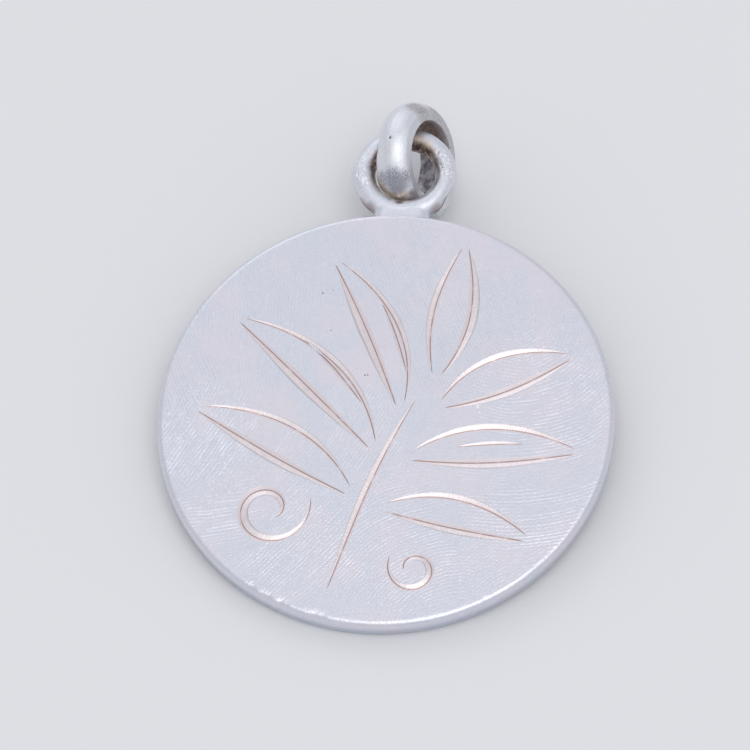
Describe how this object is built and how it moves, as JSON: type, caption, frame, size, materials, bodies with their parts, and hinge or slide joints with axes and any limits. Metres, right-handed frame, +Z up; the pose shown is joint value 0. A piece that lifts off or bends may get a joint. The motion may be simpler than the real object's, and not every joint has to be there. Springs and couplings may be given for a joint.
{
  "type": "engraved disc pendant",
  "caption": "Flat round silver pendant with an engraved leaf spray, a wire eye soldered to its rim and a domed jump ring, lying tilted on its ring.",
  "frame": {"origin": "on the surface that the pendant lies on, under the middle of its bounding box", "axes": "+Y along the pendant from the disc to the jump ring, +Z up from the surface, the engraved face upwards"},
  "size_m": [0.02, 0.0258, 0.0048],
  "materials": {
    "satin_silver": "pale silver, satin with fine tool arcs, and bright engraved cuts with a pink cast",
    "worn_silver": "polished silver, worn and lightly tarnished brown inside the ring"
  },
  "bodies": {
    "root": {"disc": "satin_silver", "jump_ring": "worn_silver"}
  },
  "joints": []
}
